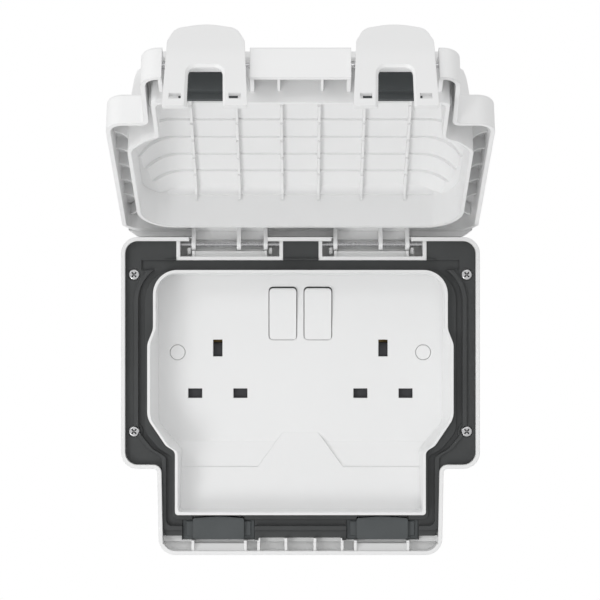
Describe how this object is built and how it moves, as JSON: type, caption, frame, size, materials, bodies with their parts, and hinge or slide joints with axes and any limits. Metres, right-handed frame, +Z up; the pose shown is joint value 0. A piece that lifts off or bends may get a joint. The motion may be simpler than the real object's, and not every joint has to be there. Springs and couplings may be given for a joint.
{
  "type": "outdoor weatherproof socket",
  "caption": "Weatherproof double switched socket outlet with a hinged ribbed lid, cable seals and snap latches.",
  "frame": {"origin": "centre of the wall fixings, on the back face that lies on the wall", "axes": "+Z up the wall, -Y out of the wall towards the user, +X to the right seen from the front"},
  "size_m": [0.1734, 0.1929, 0.2416],
  "materials": {
    "white_case": "satin moulded, weather resistant",
    "white_lid": "satin moulded",
    "white_latch": "smooth moulded",
    "white_plate": "smooth moulded",
    "inner_moulding": "plain moulded",
    "dark_seal": "soft satin elastomer",
    "dark_pad": "soft matt elastomer",
    "dark_shutter": "plain moulded",
    "grey_foam": "foam cord",
    "plated_steel": "zinc plated",
    "bright_steel": "drawn wire",
    "brass_parts": "stamped"
  },
  "bodies": {
    "base": {"back_box": "white_case", "box_seal": "grey_foam", "front_frame": "white_case", "frame_gasket": "dark_seal", "socket_plate": "white_plate", "corner_screws": "plated_steel", "screw_caps": "white_plate", "plate_screws": "plated_steel", "plate_inserts": "brass_parts", "socket_housing": "inner_moulding", "live_contacts": "brass_parts", "neutral_contacts": "brass_parts", "earth_contacts": "brass_parts", "terminal_blocks": "brass_parts", "terminal_screws": "plated_steel", "earth_terminal": "brass_parts", "hinge_pins": "bright_steel", "shutter_spring_left": "bright_steel", "switch_bar_left": "brass_parts", "cable_seal_left": "dark_pad", "shutter_spring_right": "bright_steel", "switch_bar_right": "brass_parts", "cable_seal_right": "dark_pad"},
    "lid": {"lid": "white_lid", "latch_pins": "bright_steel", "lid_seal_left": "dark_pad", "lid_seal_right": "dark_pad"},
    "latch_left_body": {"latch_left": "white_latch"},
    "latch_right_body": {"latch_right": "white_latch"},
    "rocker_left_body": {"rocker_left": "white_plate"},
    "rocker_right_body": {"rocker_right": "white_plate"},
    "shutter_left_body": {"shutter_left": "dark_shutter"},
    "shutter_right_body": {"shutter_right": "dark_shutter"},
    "switch_lever_left_body": {"switch_lever_left": "brass_parts"},
    "switch_lever_right_body": {"switch_lever_right": "brass_parts"}
  },
  "joints": [
    {"name": "lid_hinge", "type": "hinge", "parent": "base", "child": "lid", "pos_m": [0, -0.0497, 0.0528], "axis": [1, 0, 0], "range_deg": [0, 113.3]},
    {"name": "latch_left_pivot", "type": "hinge", "parent": "lid", "child": "latch_left_body", "pos_m": [-0.04035, -0.17679, 0.12604], "axis": [-1, 0, 0], "range_deg": [0, 12], "stiffness_Nm_per_rad": 0.05, "springref_deg": -5.73},
    {"name": "rocker_left_pivot", "type": "hinge", "parent": "base", "child": "rocker_left_body", "pos_m": [-0.0086, -0.0357, 0.0191], "axis": [-1, 0, 0], "range_deg": [0, 10]},
    {"name": "switch_lever_left_pivot", "type": "hinge", "parent": "base", "child": "switch_lever_left_body", "pos_m": [-0.0086, -0.03, 0.0191], "axis": [1, 0, 0], "range_deg": [0, 8]},
    {"name": "shutter_left_slide", "type": "slide", "parent": "base", "child": "shutter_left_body", "axis": [0, 0, -1], "range_m": [0, 0.006], "stiffness_N_per_m": 60, "springref_m": -0.003, "deforming": ["shutter_spring_left"]},
    {"name": "latch_right_pivot", "type": "hinge", "parent": "lid", "child": "latch_right_body", "pos_m": [0.04035, -0.17679, 0.12604], "axis": [-1, 0, 0], "range_deg": [0, 12], "stiffness_Nm_per_rad": 0.05, "springref_deg": -5.73},
    {"name": "rocker_right_pivot", "type": "hinge", "parent": "base", "child": "rocker_right_body", "pos_m": [0.0086, -0.0357, 0.0191], "axis": [-1, 0, 0], "range_deg": [0, 10]},
    {"name": "switch_lever_right_pivot", "type": "hinge", "parent": "base", "child": "switch_lever_right_body", "pos_m": [0.0086, -0.03, 0.0191], "axis": [1, 0, 0], "range_deg": [0, 8]},
    {"name": "shutter_right_slide", "type": "slide", "parent": "base", "child": "shutter_right_body", "axis": [0, 0, -1], "range_m": [0, 0.006], "stiffness_N_per_m": 60, "springref_m": -0.003, "deforming": ["shutter_spring_right"]}
  ],
  "couplings": [
    {"joint": "switch_lever_left_pivot", "follows": "rocker_left_pivot", "ratio": 0.8},
    {"joint": "switch_lever_right_pivot", "follows": "rocker_right_pivot", "ratio": 0.8}
  ]
}
